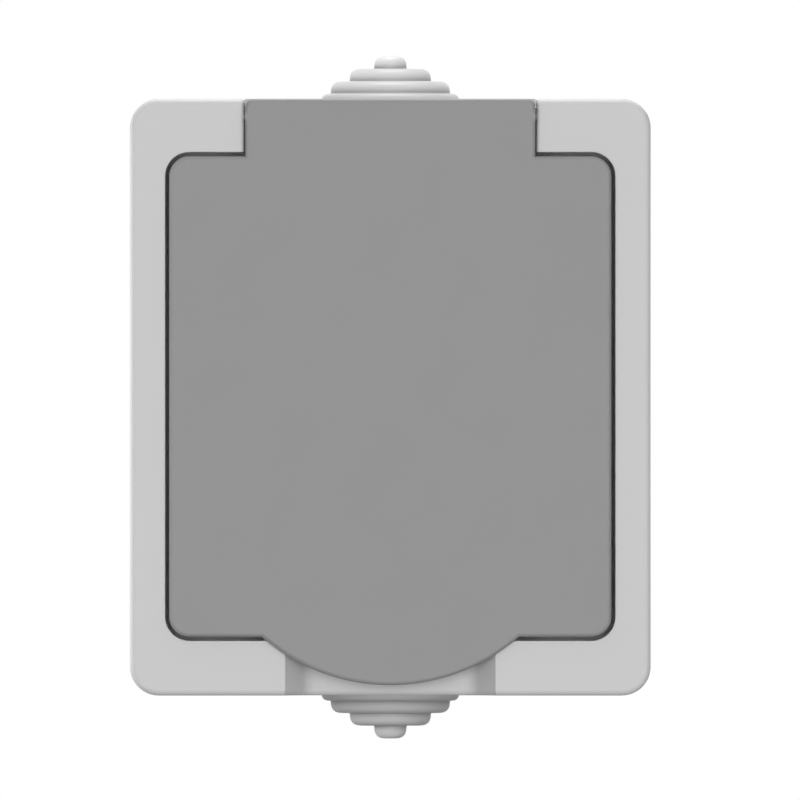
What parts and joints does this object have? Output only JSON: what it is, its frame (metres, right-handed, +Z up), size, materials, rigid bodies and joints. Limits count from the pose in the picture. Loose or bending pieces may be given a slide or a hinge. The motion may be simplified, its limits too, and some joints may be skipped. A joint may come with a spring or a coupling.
{
  "type": "outdoor wall socket",
  "caption": "Surface-mounted outdoor socket box with a round plug well under a sprung, sealed lid, and stepped rubber cable entries above and below.",
  "frame": {"origin": "centre of the housing's back face, where it meets the wall", "axes": "+X to the right seen from the front, +Y into the wall, +Z up"},
  "size_m": [0.072, 0.054, 0.095],
  "materials": {
    "housing_plastic": "light grey moulded plastic, fine satin",
    "lid_plastic": "mid grey moulded plastic, fine satin",
    "insert_plastic": "light grey moulded plastic, satin",
    "grommet_rubber": "light grey soft rubber",
    "seal_rubber": "dark grey seal rubber",
    "carrier_plastic": "pale heat-proof plastic",
    "shutter_plastic": "grey sliding plastic",
    "bright_steel": "zinc-plated steel",
    "contact_brass": "bare brass"
  },
  "bodies": {
    "housing": {"back_box": "housing_plastic", "front_cover": "housing_plastic", "housing_seal": "seal_rubber", "hinge_pin": "bright_steel", "lid_spring": "bright_steel", "top_grommet": "grommet_rubber", "bottom_grommet": "grommet_rubber", "cover_screws": "bright_steel", "cover_screw_seals": "seal_rubber", "socket_dish": "insert_plastic", "socket_face": "insert_plastic", "dish_seal": "seal_rubber", "centre_screw": "bright_steel", "shutter_spring": "bright_steel", "contact_carrier": "carrier_plastic", "carrier_rear_plate": "carrier_plastic", "line_contact": "contact_brass", "neutral_contact": "contact_brass", "earth_bracket": "bright_steel", "line_terminal": "contact_brass", "neutral_terminal": "contact_brass", "earth_terminal": "contact_brass", "terminal_screws": "bright_steel", "carrier_screws": "bright_steel", "carrier_rivets": "contact_brass"},
    "lid": {"lid": "lid_plastic", "lid_seal": "seal_rubber"},
    "shutter": {"shutter": "shutter_plastic"}
  },
  "joints": [
    {"name": "lid_hinge", "type": "hinge", "parent": "housing", "child": "lid", "pos_m": [0, -0.0515, 0.03875], "axis": [-1, 0, 0], "range_deg": [0, 105], "stiffness_Nm_per_rad": 0.01, "springref_deg": -89.95, "deforming": ["lid_spring"]},
    {"name": "shutter_slide", "type": "slide", "parent": "housing", "child": "shutter", "axis": [0, 0, 1], "range_m": [0, 0.0055], "stiffness_N_per_m": 150, "springref_m": -0.005, "deforming": ["shutter_spring"]}
  ]
}
